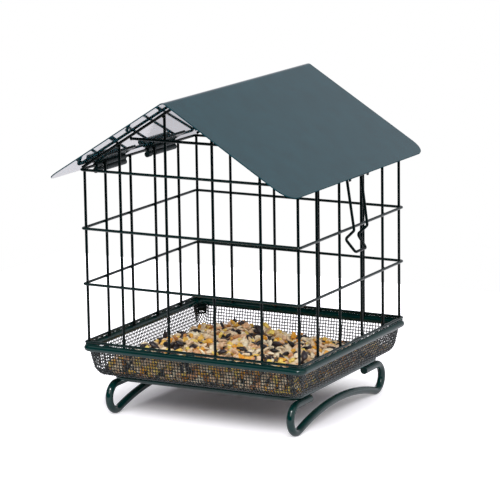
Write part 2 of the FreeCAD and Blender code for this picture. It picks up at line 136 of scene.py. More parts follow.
def setting(kind, name, description, default, **traits):
    """A setting of one kind; traits are its unit, subtype and limits."""
    return kind(name=name, description=description, default=default, **traits)


length = partial(setting, FloatProperty, subtype="DISTANCE", unit="LENGTH")
factor = partial(setting, FloatProperty, subtype="FACTOR", min=0, max=1)
amount = partial(setting, FloatProperty, min=0)
whole = partial(setting, IntProperty, min=0)
point = partial(setting, FloatVectorProperty, size=3, subtype="TRANSLATION", unit="LENGTH")


def angle(name, description, degrees):
    """An angle setting whose default is given in degrees."""
    return setting(FloatProperty, name, description, math.radians(degrees), subtype="ANGLE",
                   unit="ROTATION")


def colour(name, description, *screen):
    """A colour setting whose default is given as screen values from 0 to 255.

    A screen's curve is a power of 2.4 with a straight foot.
    """
    share = np.array(screen) / 255
    linear = np.where(share > 0.04045, ((share + 0.055) / 1.055) ** 2.4, share / 12.92)
    return setting(FloatVectorProperty, name, description, tuple(linear), subtype="COLOR", size=3,
                   min=0, max=1)


class FeederWeave(bpy.types.PropertyGroup):
    """Sizes of the tray's woven wire and of the tabs in its corners."""

    pitch: length("Pitch", "Distance between neighbouring wires", 2.84 * MM)
    wire: length("Wire", "Diameter of one wire", 0.92 * MM)
    bend: length("Bend", "Radius of the tray's bottom edge", 10 * MM)
    flare: length("Flare", "How far the mesh leans out towards the rim", 2.2 * MM)
    corner: amount("Corner", "How square the corners are at the rim, 2 for round", 6, min=2)
    sides: whole("Sides", "Faces round one wire", 6, min=3)
    tab_wide: length("Tab width", "Width of the slotted tab across each corner", 8.8 * MM)
    tab_drop: length("Tab drop", "How far a tab hangs below the top of the mesh", 9.4 * MM)
    tab_turn: angle("Tab turn", "Way that a tab's back faces, from the side wall to the end wall", 45)
    slot_wide: length("Slot width", "Width of the slot in a tab", 4.6 * MM)
    slot_high: length("Slot height", "Height of the slot in a tab", 1.5 * MM)


class FeederSeed(bpy.types.PropertyGroup):
    """The heap of seed and its colours."""

    front: length("Front level", "Height of the heap at the front wall", 59 * MM)
    back: length("Back level", "Height of the heap at the back wall", 44 * MM)
    left: length("Left level", "Height of the heap at the left wall", 43.5 * MM)
    mound: length("Mound", "Rise of the small mound at the back", 6.5 * MM)
    loose: whole("Loose seeds", "Seeds dropped on the heap", 2300)
    tries: whole("Tries", "Spots that a seed rolls between before it settles", 6, min=1)
    sink: length("Sink", "How far below the heap's level the first seeds land", 9.5 * MM)
    spacing: length("Lining", "Spacing of the seeds that lie against the mesh", 5.2 * MM)
    draw: whole("Draw", "Number that starts the random draws", 7)
    heart: colour("Heart", "Shelled sunflower", 255, 243, 214)
    heart_deep: colour("Heart, deep", "Shaded side of shelled sunflower", 226, 190, 143)
    nut: colour("Nut", "Chopped peanut", 255, 237, 204)
    nut_deep: colour("Nut, deep", "Skin side of chopped peanut", 224, 162, 112)
    husk: colour("Husk", "Black sunflower", 58, 50, 56)
    husk_deep: colour("Husk, deep", "Black sunflower, dark", 12, 8, 10)
    maize: colour("Maize", "Cut maize", 255, 226, 118)
    maize_deep: colour("Maize, deep", "Cut maize, dark", 236, 154, 22)
    wheat: colour("Wheat", "Wheat and small grain", 214, 150, 76)
    wheat_deep: colour("Wheat, deep", "Red grain", 150, 78, 24)


class FeederCoat(bpy.types.PropertyGroup):
    """The plastic coating on wire, sheet and mesh."""

    # painted shade: the same coating as on the rods, painted darker on uprights, rafters, ties and latch
    wire: colour("Wire", "Coating on uprights, rafters, ties and latch", 1, 14, 14)
    # painted shade: the rods' coating painted darker on the rings, though less than on the uprights
    ring: colour("Ring", "Coating on the wire rings", 1, 28, 27)
    rod: colour("Rod", "Coating on rim, base and feet", 2, 42, 40)
    roof: colour("Roof", "Coating on the roof sheet", 26, 64, 73)
    clip: colour("Clip", "Coating on the hinge clips", 6, 34, 36)
    mesh: colour("Mesh", "Coating on the woven wire", 8, 24, 24)
    wire_rough: factor("Wire roughness", "Roughness of the coating on all thin wire", 0.15)
    wire_gloss: factor("Wire gloss", "Specular level on uprights, rafters, ties and latch", 0.12)
    ring_gloss: factor("Ring gloss", "Specular level of the coating on the wire rings", 0.35)
    rod_rough: factor("Rod roughness", "Roughness of the coating on rim, base, feet and mesh", 0.06)
    rod_gloss: factor("Rod gloss", "Specular level of the coating on rim, base and feet", 0.42)
    mesh_gloss: factor("Mesh gloss", "Specular level of the coating on woven wire", 0.7)
    roof_rough: factor("Roof roughness", "Roughness of the coating on the roof", 0.04)
    roof_gloss: factor("Roof gloss", "Weight of the clear layer on the roof", 0.26)
    clip_rough: factor("Clip roughness", "Roughness of the coating on the hinge clips", 0.3)
    clip_gloss: factor("Clip gloss", "Specular level of the coating on the hinge clips", 0.2)
    peel: length("Orange peel", "Size of the ripples in the coating", 0.9 * MM)
    mottle: factor("Mottle", "How much the coating's shade varies", 0.25)


class FeederWelds(bpy.types.PropertyGroup):
    """Weld beads where wires cross, and what closes parts of the slit above the rim."""

    along: length("Along", "Half length of a bead along the ring", 1.6 * MM)
    across: length("Across", "Half thickness of a bead across both wires", 1.15 * MM)
    up: length("Up", "Half height of a bead", 1.5 * MM)
    front: factor("Front fill", "Share of the slit's height that coating fills at the front", 0.62)
    right: factor("Right fill", "Share of the slit's height that coating fills at the right", 0.35)
    back: factor("Back fill", "Share of the slit's height that coating fills at the back", 1.0)
    left: factor("Left fill", "Share of the slit's height that coating fills at the left", 0.88)
    ragged: factor("Ragged", "How much the coating's height varies where the slit is half full", 0.4)
    run: length("Run", "Distance between rises and falls of the coating in the slit", 2.2 * MM)
    closed: length("Closed", "Length beside each corner where coating closes the slit", 12 * MM)
    draw: whole("Draw", "Number that starts the random draws", 3)


class FeederStage(bpy.types.PropertyGroup):
    """Camera, light and floor."""

    eye: point("Camera place", "Where the camera stands", (1.1198, -2.0583, 0.6257))
    azimuth: angle("Azimuth", "Camera's place round the feeder, from the front to the right", 28.36)
    elevation: angle("Elevation", "Camera's height above the horizon", 11.64)
    roll: angle("Roll", "Camera's turn about its own view", -0.84)
    lens: amount("Lens", "Focal length in millimetres", 192.58, unit="CAMERA")
    key: amount("Key", "Strength of the soft light from the front", 1.5)
    fill: amount("Fill", "Strength of the soft light from above", 0.6)
    ambient: factor("Ambient", "Level of the light from all round", 0.55)
    side: amount("Side", "Strength of the soft light from the right", 0.75)
    glint: amount("Glint", "Strength of the small light that only gloss shows", 1.2)
    room: factor("Room", "How bright the room behind the camera looks in the gloss", 0.03)
    zenith: factor("Zenith", "How bright the ceiling looks in the gloss", 0.25)
    # painted light: the floor gives off this white, which whitens cast shadows away from the feeder and
    # shows in reflections
    lift: factor("Lift", "White added to the floor that the camera sees in the shadow's heart", 0.005)
    far_lift: factor("Far lift", "White added to the floor that the camera sees outside the shadow", 0.75)
    gloss_lift: factor("Gloss lift", "Share of that white that shows in gloss", 0.2)
    shade_middle: point("Shadow", "Middle of the shadow's heart", (-0.0125, 0.0175, 0))
    shade_half: point("Shadow size", "Half the size of the shadow's heart", (0.0625, 0.0325, 0),
                      subtype="XYZ")
    shade_fade: length("Shadow fade", "Distance over which the shadow turns white", 0.12)
    floor: colour("Floor", "Floor sheet", 250, 247, 254)
    floor_half: length("Floor reach", "Middle of the floor sheet to its edges", 0.52)


SETTINGS = {"feeder_weave": FeederWeave, "feeder_seed": FeederSeed, "feeder_coat": FeederCoat,
            "feeder_welds": FeederWelds, "feeder_stage": FeederStage}


def smooth_step(value, low, high):
    """0 below low, 1 above high, and an S-shaped cubic between them."""
    share = np.clip((value - low) / (high - low), 0, 1)
    return share * share * (3 - 2 * share)


def unit(vectors):
    """Vectors of length 1 along the last axis; a zero vector stays zero."""
    size = np.linalg.norm(vectors, axis=-1, keepdims=True)
    return vectors / np.where(size > 0, size, 1)


def circle(count):
    """Angles of evenly spaced points round a circle."""
    return FULL_TURN * np.arange(count) / count


def node_middle(name):
    """Middle of a CAD node's box at rest."""
    low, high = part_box(name)
    return (np.array(low) + np.array(high)) / 2


def add_object(name, data):
    """A new object in the scene, at the origin."""
    item = bpy.data.objects.new(name, data)
    bpy.context.scene.collection.objects.link(item)
    return item


def new_mesh(name, points, face_sets, material, smooth=True):
    """A mesh of points and face sets, each an array of one face size, in one material."""
    corners = np.concatenate([faces.ravel() for faces in face_sets]).astype(np.int32)
    counts = np.concatenate([np.full(len(faces), faces.shape[1]) for faces in face_sets])
    starts = np.concatenate([[0], np.cumsum(counts)[:-1]]).astype(np.int32)
    mesh = bpy.data.meshes.new(name)
    mesh.vertices.add(len(points))
    mesh.vertices.foreach_set("co", np.ascontiguousarray(points, np.float32).ravel())
    mesh.loops.add(len(corners))
    mesh.loops.foreach_set("vertex_index", corners)
    mesh.polygons.add(len(counts))
    mesh.polygons.foreach_set("loop_start", starts)
    mesh.polygons.foreach_set("use_smooth", np.full(len(counts), smooth))
    mesh.update(calc_edges=True)
    mesh.validate()
    mesh.materials.append(material)
    return mesh


def new_piece(name, points, face_sets, material, nodes=(), smooth=True, tone=None):
    """Makes one finished piece of the cage's body, with an optional tone for each point."""
    mesh = new_mesh(name, points, face_sets, material, smooth)
    if tone is not None:
        attribute = mesh.attributes.new("tone", "FLOAT", "POINT")
        attribute.data.foreach_set("value", np.ascontiguousarray(tone, np.float32))
    piece = add_object(name, mesh)
    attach(piece, "cage")
    if nodes:
        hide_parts(*nodes)


def used_only(points, face_sets):
    """The points that the faces use, and the faces numbered for them."""
    corners = np.concatenate([faces.ravel() for faces in face_sets])
    used, renumbered = np.unique(corners, return_inverse=True)
    cuts = np.cumsum([faces.size for faces in face_sets])[:-1]
    parts = np.split(renumbered.ravel(), cuts)
    return points[used], [part.reshape(faces.shape) for part, faces in zip(parts, face_sets)]


def joined(parts):
    """Several pairs of points and face sets as one."""
    starts = np.cumsum([0] + [len(points) for points, _ in parts])
    sets = [faces + start for start, (_, face_sets) in zip(starts, parts) for faces in face_sets]
    return np.concatenate([points for points, _ in parts]), sets


def copies(shape, face_sets, scales, turns, places, swell=1.0):
    """One mesh of many copies of a shape: each swollen point by point, scaled, turned and moved."""
    points = np.einsum("nij,nmj->nmi", turns, shape[None] * scales[:, None] * swell) + places[:, None]
    shift = np.arange(len(places))[:, None, None] * len(shape)
    sets = [(faces[None] + shift).reshape(-1, faces.shape[1]) for faces in face_sets]
    return points.reshape(-1, 3), sets


def ringed(along, radius, across, up, tip):
    """Points of a closed shape along X: one outline times each ring's radius, and a tip at each end."""
    body = np.broadcast_arrays(along[:, None], radius[:, None] * across, radius[:, None] * up)
    return np.concatenate([np.stack(body, axis=-1).reshape(-1, 3), [[-tip, 0, 0], [tip, 0, 0]]])


def ring_faces(rings, sides):
    """Quads between rings of points, and triangles to the tip at each end."""
    index = np.arange(rings * sides).reshape(rings, sides)
    beside = np.roll(index, -1, axis=1)
    quads = np.stack([index[:-1], beside[:-1], beside[1:], index[1:]], axis=-1).reshape(-1, 4)
    tips = rings * sides + np.arange(2)
    start = np.stack([np.full(sides, tips[0]), beside[0], index[0]], axis=-1)
    stop = np.stack([np.full(sides, tips[1]), index[-1], beside[-1]], axis=-1)
    return quads, np.concatenate([start, stop])


def slab(outer, inner, kept=None):
    """A closed slab between two grids of points, over the kept cells, with walls at their edges."""
    rows, columns = outer.shape[:2]
    kept = np.ones((rows - 1, columns - 1), bool) if kept is None else kept
    index = np.arange(rows * columns).reshape(rows, columns)
    under = rows * columns
    cells = np.stack([index[:-1, :-1], index[1:, :-1], index[1:, 1:], index[:-1, 1:]], axis=-1)
    around = np.pad(kept, 1)
    beyond = np.stack([around[1:-1, :-2], around[2:, 1:-1], around[1:-1, 2:], around[:-2, 1:-1]], axis=-1)
    open_edge = kept[..., None] & ~beyond
    edge, after = cells[open_edge], np.roll(cells, -1, axis=-1)[open_edge]
    walls = np.stack([edge, edge + under, after + under, after], axis=-1)
    points = np.concatenate([outer.reshape(-1, 3), inner.reshape(-1, 3)])
    return used_only(points, [np.concatenate([cells[kept], cells[kept][:, ::-1] + under, walls])])


def tubes(centres, normals, radius, sides, kept):
    """Round wires carried along rows of centres.

    Each ring of points is a circle in the plane of the surface normal and the direction across the
    wire. Only the stretches marked as kept get faces, and each wire's two ends are closed.
    """
    count, steps = centres.shape[:2]
    along = unit(np.gradient(centres, axis=1))
    across = unit(np.cross(along, normals))
    out = np.cross(across, along)
    turn = circle(sides)
    ring = out[:, :, None] * np.cos(turn)[:, None] + across[:, :, None] * np.sin(turn)[:, None]
    points = (centres[:, :, None] + radius * ring).reshape(-1, 3)
    index = np.arange(count * steps * sides).reshape(count, steps, sides)
    beside = np.roll(index, -1, axis=2)
    quads = np.stack([index[:, :-1], beside[:, :-1], beside[:, 1:], index[:, 1:]], axis=-1)[kept]
    row = np.arange(count)
    wired = kept.any(axis=1)
    first = kept.argmax(axis=1)
    last = steps - 1 - kept[:, ::-1].argmax(axis=1)
    starts = index[row, first][wired][:, ::-1]
    stops = index[row, last][wired]
    return used_only(points, [quads.reshape(-1, 4), np.concatenate([starts, stops])])


def tray_surface(u, v, half, base, depth, bend, corner, flare=0.0):
    """Points and outward normals of the tray over flat cloth coordinates u and v.

    Past the flat bottom's edge the cloth turns up through a quarter circle of the bend radius and then
    runs up, leaning out by the flare. Round a corner the same profile is carried round an arc, whose
    power grows from 2, a circle, at the bottom to the corner setting higher up.
    """
    flat_x, flat_y = half - bend
    past_x, past_y = np.maximum(np.abs(u) - flat_x, 0), np.maximum(np.abs(v) - flat_y, 0)
    past = np.hypot(past_x, past_y)
    around = np.arctan2(past_y, past_x)
    quarter = QUARTER_TURN * bend
    turn = np.minimum(past, quarter) / bend
    lift = bend * (1 - np.cos(turn)) + np.maximum(past - quarter, 0)
    power = ROUND + (corner - ROUND) * smooth_step(lift, SQUARE_FROM * depth, SQUARE_TO * depth)
    square = (np.cos(around) ** power + np.abs(np.sin(around)) ** power) ** (-1 / power)
    reach = (bend * np.sin(turn) + flare * smooth_step(lift, FLARE_FROM * depth, depth)) * square
    x = np.sign(u) * (np.minimum(np.abs(u), flat_x) + reach * np.cos(around))
    y = np.sign(v) * (np.minimum(np.abs(v), flat_y) + reach * np.sin(around))
    normal_x = np.sign(u) * np.sin(turn) * np.cos(around)
    normal_y = np.sign(v) * np.sin(turn) * np.sin(around)
    points = np.stack([x + TRAY_MIDDLE[0], y + TRAY_MIDDLE[1], base + lift], axis=-1)
    return points, np.stack([normal_x, normal_y, -np.cos(turn)], axis=-1)


def woven_wires(weave):
    """Both families of the tray's wires, each passing over and under the other by half a wire."""
    wire, pitch = weave.wire, weave.pitch
    half = TRAY_HALF[:2] - wire
    bend = weave.bend - wire
    base = TRAY_LOW[2] + wire
    depth = TRAY_HIGH[2] - base
    rise = QUARTER_TURN * bend + depth - bend
    flat = half - bend
    grids = [np.arange(math.ceil(2 * (side + rise) / pitch) + 1) * pitch for side in flat]
    grids = [grid - grid.mean() for grid in grids]
    families = []
    for family in (0, 1):
        run, fixed = grids[family], grids[1 - family]
        past = np.maximum(np.abs(fixed) - flat[1 - family], 0)
        limit = (flat[family] + np.sqrt(np.maximum(rise ** 2 - past ** 2, 0))) * (past < rise)
        reached = np.clip(run[None, :], -limit[:, None], limit[:, None])
        crossing = np.broadcast_to(fixed[:, None], reached.shape)
        u, v = (reached, crossing) if family == 0 else (crossing, reached)
        centres, normals = tray_surface(u, v, half, base, depth, bend, weave.corner, weave.flare)
        checker = np.add.outer(np.arange(len(fixed)), np.arange(len(run))) % 2 * 2 - 1
        sway = (1 - 2 * family) * checker[..., None] * wire / 2
        kept = np.diff(reached, axis=1) > LEAST_STRETCH * pitch
        families.append(tubes(centres + sway * normals, normals, wire / 2, weave.sides, kept))
    return joined(families)


def corner_tabs(weave):
    """Four flat slotted tabs inside the mesh, each hung from the rim across a corner.

    A tab is a grid of upright lines and level lines: its edges, and the edges of its slot. It stands
    where both ends of it meet the inside of the mesh, and the slot's cell is left out.
    """
    half, slot_half = weave.tab_wide / 2, weave.slot_wide / 2
    across = np.array([-half, -slot_half, slot_half, half])
    low = TRAY_HIGH[2] - weave.tab_drop
    level = np.array([low, low + TAB_LIP, low + TAB_LIP + weave.slot_high, TRAY_HIGH[2]])
    levels = np.broadcast_to(level[:, None], (len(across), len(level), 1))
    turn = weave.tab_turn
    out, along = np.array([math.cos(turn), math.sin(turn)]), np.array([-math.sin(turn), math.cos(turn)])
    middle = TRAY_HALF[:2] - WEAVE_DEPTH * weave.wire - np.abs(along) * half
    kept = np.ones((len(across) - 1, len(level) - 1), bool)
    kept[1, 1] = False
    tabs = []
    for _, sign_y in ENDS:
        for _, sign_x in SIDES:
            faces = []
            for depth in (0, TAB_THICK):
                plan = (middle - depth * out + across[:, None] * along) * (sign_x, sign_y)
                lines = np.repeat((plan + TRAY_MIDDLE[:2])[:, None], len(level), axis=1)
                faces.append(np.concatenate([lines, levels], axis=-1)[::sign_x * sign_y])
            tabs.append(slab(*faces, kept))
    return joined(tabs)


class SeedKind(NamedTuple):
    """One kind of seed: its share of the mix, its size in millimetres and its outline.

    Chip is how far its points are pushed in and out at random, and rough is its skin's roughness.
    """

    share: float
    long: float
    wide: float
    thick: float
    blunt: float
    taper: float
    flat: float
    chip: float = 0.0
    rings: int = 5
    sides: int = 8
    rough: float = 0.6


SEED_KINDS = {
    "heart": SeedKind(0.25, 8.8, 4.8, 3.2, 0.75, 0.35, 0.5),
    "nut": SeedKind(0.27, 8.0, 6.2, 4.4, 0.4, 0.15, 0.6, chip=0.22, rings=3, sides=6),
    "husk": SeedKind(0.14, 11.6, 5.6, 3.8, 0.8, 0.4, 0.1, rough=0.4),
    "maize": SeedKind(0.19, 7.4, 6.0, 4.2, 0.35, 0.4, 0.25, chip=0.25, rings=3, sides=6),
    "wheat": SeedKind(0.15, 5.8, 3.0, 2.6, 0.7, 0.1, 0.1),
}


def seed_shape(kind):
    """A seed of length, width and thickness 1, along its own X.

    Its radius is the sine of the way along to the power blunt, narrowed towards one end by taper;
    the underside is pressed flatter by flat, and each end closes to a point.
    """
    way = np.arange(1, kind.rings + 1) / (kind.rings + 1)
    radius = np.sin(math.pi * way) ** kind.blunt * (1 - kind.taper * (2 * way - 1))
    radius /= radius.max()
    turn = circle(kind.sides)
    lift = np.where(np.sin(turn) < 0, 1 - kind.flat, 1) * np.sin(turn)
    return ringed(way - 0.5, radius / 2, np.cos(turn), lift, 0.5)


def seed_turns(normals, yaws):
    """Turning matrices that lay each seed's own Z along a normal and its X at a yaw round that normal."""
    heading = np.stack([np.cos(yaws), np.sin(yaws), np.zeros_like(yaws)], axis=-1)
    spare = np.stack([np.zeros_like(yaws), np.cos(yaws), np.sin(yaws)], axis=-1)
    heading = np.where(np.abs(normals[:, 2:]) < STEEP, spare, heading)
    along = unit(heading - normals * np.sum(heading * normals, axis=1, keepdims=True))
    return np.stack([along, np.cross(normals, along), normals], axis=-1)


def heap_height(x, y, seed):
    """Level of the heap: high along the front, falling to the back and to the left wall.

    S-shaped steps lead from the front level to the back level and from the left level inwards, a
    bell-shaped mound rises at the back, and the heap is lowest in the front left corner.
    """
    x = x - TRAY_MIDDLE[0]
    y = y - TRAY_MIDDLE[1]
    level = seed.front + (seed.back - seed.front) * smooth_step(y, *FALL)
    mound = seed.mound * np.exp(-((x + MOUND_LEFT) / MOUND_REACH) ** 2)
    level = level + mound * smooth_step(y, *MOUND_RISE)
    level = seed.left + (level - seed.left) * smooth_step(x + TRAY_HALF[0], *LEFT_RISE)
    corner = np.hypot(x + TRAY_HALF[0], y + TRAY_HALF[1])
    return level - HOLLOW * (1 - smooth_step(corner, *HOLLOW_END))


def tray_floor(x, y, bend, base):
    """Height of the tray's inside: flat, then up a quarter circle of the bend radius near the walls."""
    past_x = np.maximum(np.abs(x - TRAY_MIDDLE[0]) - (TRAY_HALF[0] - bend), 0)
    past_y = np.maximum(np.abs(y - TRAY_MIDDLE[1]) - (TRAY_HALF[1] - bend), 0)
    past = np.minimum(np.hypot(past_x, past_y), bend)
    return base + bend - np.sqrt(bend ** 2 - past ** 2)


def heap_core(seed, weave):
    """A closed core under the loose seed: heap height less the loose layer on top, tray shape below."""
    x = np.linspace(TRAY_LOW[0] + CORE_INSET, TRAY_HIGH[0] - CORE_INSET, CORE_STEPS)
    y = np.linspace(TRAY_LOW[1] + CORE_INSET, TRAY_HIGH[1] - CORE_INSET, CORE_STEPS)
    x, y = np.meshgrid(x, y, indexing="ij")
    low = tray_floor(x, y, weave.bend, TRAY_LOW[2] + CORE_LIFT * weave.wire)
    high = np.maximum(heap_height(x, y, seed) - seed.sink, low + CORE_LEAST)
    return slab(np.stack([x, y, high], axis=-1), np.stack([x, y, low], axis=-1))


def lining_seeds(draw, seed, weave):
    """Places, normals and yaws of seeds that lie against the mesh, on walls and floor, up to the heap."""
    bend = weave.bend - LINING_INSET
    depth = 2 * TRAY_HALF[2]
    rise = QUARTER_TURN * bend + depth - weave.bend
    half = TRAY_HALF[:2] - LINING_INSET
    reach = half - bend + rise
    u, v = np.meshgrid(*(np.arange(-side, side, seed.spacing) for side in reach), indexing="ij")
    u, v = (grid.ravel() + draw.uniform(-LINING_SCATTER, LINING_SCATTER, grid.size) * seed.spacing
            for grid in (u, v))
    past = np.hypot(np.maximum(np.abs(u) - half[0] + bend, 0), np.maximum(np.abs(v) - half[1] + bend, 0))
    places, normals = tray_surface(u, v, half, TRAY_LOW[2] + LINING_INSET, depth - LINING_INSET, bend,
                                   ROUND)
    filled = places[:, 2] < heap_height(places[:, 0], places[:, 1], seed) - LINING_COVER
    chosen = (past < rise) & filled
    normals = unit(normals + draw.normal(0, LINING_LEAN, normals.shape))
    return places[chosen], normals[chosen], draw.uniform(0, FULL_TURN, chosen.sum())


def land(patch, near, kind, yaw):
    """Lands a seed on a patch of the grid of heights and gives its middle's height and the slope there.

    It rests on the height that most of the ground under its outline stays below, leans with the slope
    of that ground, and raises it to an elliptic cap of its own thickness.
    """
    along = near[0] * math.cos(yaw) + near[1] * math.sin(yaw)
    across = near[1] * math.cos(yaw) - near[0] * math.sin(yaw)
    away = (2 * along / kind.long) ** 2 + (2 * across / kind.wide) ** 2
    under = away < 1
    slope = [np.sum((patch * way)[under]) / np.sum((way ** 2)[under]) / DROP_CELL for way in near]
    middle = np.quantile(patch[under], REST_SHARE) + REST_LIFT * kind.thick * MM
    cap = middle + CAP_LIFT * kind.thick * MM * np.sqrt(np.clip(1 - away, 0, 1))
    patch[under] = np.maximum(patch[under], cap[under])
    return middle, np.clip(slope, -1, 1)


def dropped_seeds(draw, seed, weave, names):
    """Places, normals and yaws of seeds dropped one by one on a grid of heights.

    Each rolls to the spot of several that lies furthest below the heap's level, and lands there.
    """
    columns, rows = (int(2 * half / DROP_CELL) + 1 for half in TRAY_HALF[:2])
    x = TRAY_LOW[0] + DROP_CELL * np.arange(columns)
    y = TRAY_LOW[1] + DROP_CELL * np.arange(rows)
    x, y = np.meshgrid(x, y, indexing="ij")
    level = heap_height(x, y, seed)
    ground = np.maximum(level - seed.sink, tray_floor(x, y, weave.bend, TRAY_LOW[2] + DROP_FLOOR))
    count = len(names)
    spots = draw.uniform(-1, 1, (count, seed.tries, 2)) * (TRAY_HALF[:2] - DROP_WALL) + TRAY_MIDDLE[:2]
    cells = np.clip(np.round((spots - TRAY_LOW[:2]) / DROP_CELL).astype(int), DROP_REACH,
                    (columns - DROP_REACH - 1, rows - DROP_REACH - 1))
    yaws = draw.uniform(0, FULL_TURN, count)
    places, normals = np.zeros((count, 3)), np.ones((count, 3))
    reach = np.arange(-DROP_REACH, DROP_REACH + 1)
    near = np.meshgrid(reach, reach, indexing="ij")
    for number, (name, yaw) in enumerate(zip(names, yaws)):
        tried = tuple(cells[number].T)
        settled = np.argmin(ground[tried] - level[tried])
        start, stop = cells[number, settled] - DROP_REACH, cells[number, settled] + DROP_REACH + 1
        patch = ground[start[0]:stop[0], start[1]:stop[1]]
        height, slope = land(patch, near, SEED_KINDS[name], yaw)
        places[number] = (*spots[number, settled], height)
        normals[number, :2] = -slope
    return places, unit(unit(normals) + draw.normal(0, DROP_LEAN, normals.shape)), yaws


def seed_layout(draw, seed, weave):
    """Kinds, places and turning matrices of all seeds: those against the mesh, then the dropped ones."""
    lining = lining_seeds(draw, seed, weave)
    lined = len(lining[0])
    shares = [kind.share for kind in SEED_KINDS.values()]
    names = draw.choice(list(SEED_KINDS), lined + seed.loose, p=shares)
    loose = dropped_seeds(draw, seed, weave, names[lined:])
    places, normals, yaws = (np.concatenate(pair) for pair in zip(lining, loose))
    return names, places, seed_turns(normals, yaws)


def pressed_in(points, weave):
    """Points of seeds pressed back inside the mesh.

    A point's way past the lines that the tray's bends are drawn from, sideways and down, is cut to the
    bend radius less the woven wires' thickness.
    """
    bend = weave.bend - WEAVE_DEPTH * weave.wire
    away = points - [TRAY_MIDDLE[0], TRAY_MIDDLE[1], TRAY_LOW[2] + weave.bend]
    straight = np.append(TRAY_HALF[:2] - weave.bend, 0)
    past = np.maximum(np.abs(away) - straight, 0) * ([True, True, False] | (away < 0))
    size = np.linalg.norm(past, axis=1, keepdims=True)
    cut = np.maximum(size - bend, 0) / np.maximum(size, bend)
    return points - np.sign(away) * past * cut


def uprights():
    """Each upright's middle, and the outward direction of the ring that it meets."""
    found = []
    for end, sign_y in ENDS:
        for side, sign_x in SIDES:
            out = np.array([sign_x, sign_y, 0]) / math.sqrt(2)
            found.append((node_middle(f"corner_post_{end}_{side}"), out))
        found += [(node_middle(f"{end}_bar_{bar}"), np.array([0, sign_y, 0])) for bar in BARS]
    for side, sign_x in SIDES:
        found += [(node_middle(f"{side}_bar_{bar}"), np.array([sign_x, 0, 0])) for bar in BARS]
    return found


def weld_spots(wire):
    """Where welds join uprights to rings, ties and rafters, and ties to rafters, and the way outwards."""
    spots = []
    for middle, out in uprights():
        spots += [((*middle[:2], node_middle(ring)[2]) + out * wire / 2, out) for ring in RINGS]
    for end, sign_y in ENDS:
        out = np.array([0, sign_y, 0])
        tie = node_middle(f"{end}_tie")
        for bar in BARS:
            name = f"{end}_bar_{bar}"
            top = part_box(name)[1][2]
            levels = (top - wire / 2, tie[2]) if top > tie[2] else (top - wire / 2,)
            spots += [((*node_middle(name)[:2], level) + out * wire / 2, out) for level in levels]
        spots += [(np.array([corner[0], *tie[1:]]), out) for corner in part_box(f"{end}_tie")]
    places, outs = zip(*spots)
    return np.array(places), np.array(outs)


def beads(places, outs, scales):
    """Weld beads: unit balls of rings and sides, scaled, with X along the ring, Y outwards and Z up."""
    rise = math.pi * (np.arange(1, BEAD_RINGS + 1) / (BEAD_RINGS + 1) - 0.5)
    turn = circle(BEAD_SIDES)
    ball = ringed(np.sin(rise), np.cos(rise), np.cos(turn), np.sin(turn), 1)
    up = np.broadcast_to([0.0, 0.0, 1.0], outs.shape)
    turns = np.stack([np.cross(outs, up), outs, up], axis=-1)
    return copies(ball, ring_faces(BEAD_RINGS, BEAD_SIDES), scales, turns, places)


def ring_path(half, radius, step):
    """Points along a flat ring, anticlockwise from its front left corner, and the way outwards at each.

    Each quarter is a straight run followed by a quarter circle; the next one is turned a right angle.
    """
    points, outs = [], []
    round_out = np.stack([np.cos(RING_BEND), np.sin(RING_BEND)], axis=-1)
    for quarter in range(4):
        run, away = half[quarter % 2] - radius, half[1 - quarter % 2] - radius
        along = np.arange(-run, run, step)
        straight = np.stack([along, np.full(len(along), -away - radius)], axis=-1)
        turn = quarter * QUARTER_TURN
        turned = np.array([[math.cos(turn), math.sin(turn)], [-math.sin(turn), math.cos(turn)]])
        points.append(np.concatenate([straight, [run, -away] + radius * round_out]) @ turned)
        outs.append(np.concatenate([np.tile([0.0, -1.0], (len(along), 1)), round_out]) @ turned)
    return np.concatenate(points), np.concatenate(outs)


def slit_runs(draw, welds, middle, half, wire, low, gap):
    """Coating that fills the slit above the rim to an uneven height.

    An ellipse is carried round the bottom ring's path. Its foot is sunk into the rim's top, and its
    height is the slit's times a share that each side sets and that rises and falls at random along the
    way, the more so the nearer it is to a half. Near the corners the slit is closed.
    """
    path, outs = ring_path(half[:2], wire, RUN_STEP)
    way = np.concatenate([[0], np.cumsum(np.linalg.norm(np.diff(path, axis=0), axis=1))])
    sides = np.array([welds.front, welds.right, welds.back, welds.left])
    facing = np.stack([-outs[:, 1], outs[:, 0], outs[:, 1], -outs[:, 0]], axis=-1)
    near_corner = np.all(np.abs(path) > half[:2] - welds.closed, axis=1)
    share = np.maximum(sides[facing.argmax(axis=1)], near_corner)
    knots = np.arange(0, way[-1] + welds.run, welds.run)
    swing = 4 * welds.ragged * share * (1 - share) * np.interp(way, knots, draw.normal(0, 1, len(knots)))
    share = np.clip(share + swing, *RUN_SHARES)
    foot = low - RUN_FOOT * gap
    high = (low + gap * share - foot) / 2
    turn = circle(BEAD_SIDES)[:, None]
    across = np.append(outs, np.zeros((len(outs), 1)), axis=1)[:, None] * np.cos(turn) * wire * RUN_WIDE
    up = np.array([0, 0, 1]) * (high[:, None, None] * np.sin(turn))
    centres = np.column_stack([path + middle[:2], foot + high])
    index = np.arange(len(path) * BEAD_SIDES).reshape(len(path), BEAD_SIDES)
    ahead, beside = np.roll(index, -1, axis=0), np.roll(index, -1, axis=1)
    quads = np.stack([index, ahead, np.roll(ahead, -1, axis=1), beside], axis=-1).reshape(-1, 4)
    return (centres[:, None] + across + up).reshape(-1, 3), [quads]


def new_material(name):
    """An empty node material, its tree and its Principled shader."""
    material = bpy.data.materials.new(name)
    material.use_nodes = True
    return material, material.node_tree, material.node_tree.nodes["Principled BSDF"]


def set_inputs(tree, node, inputs):
    """Links a node's inputs from sockets, and sets the others from numbers and colours."""
    for name, value in inputs.items():
        if isinstance(value, bpy.types.NodeSocket):
            tree.links.new(value, node.inputs[name])
        else:
            node.inputs[name].default_value = value


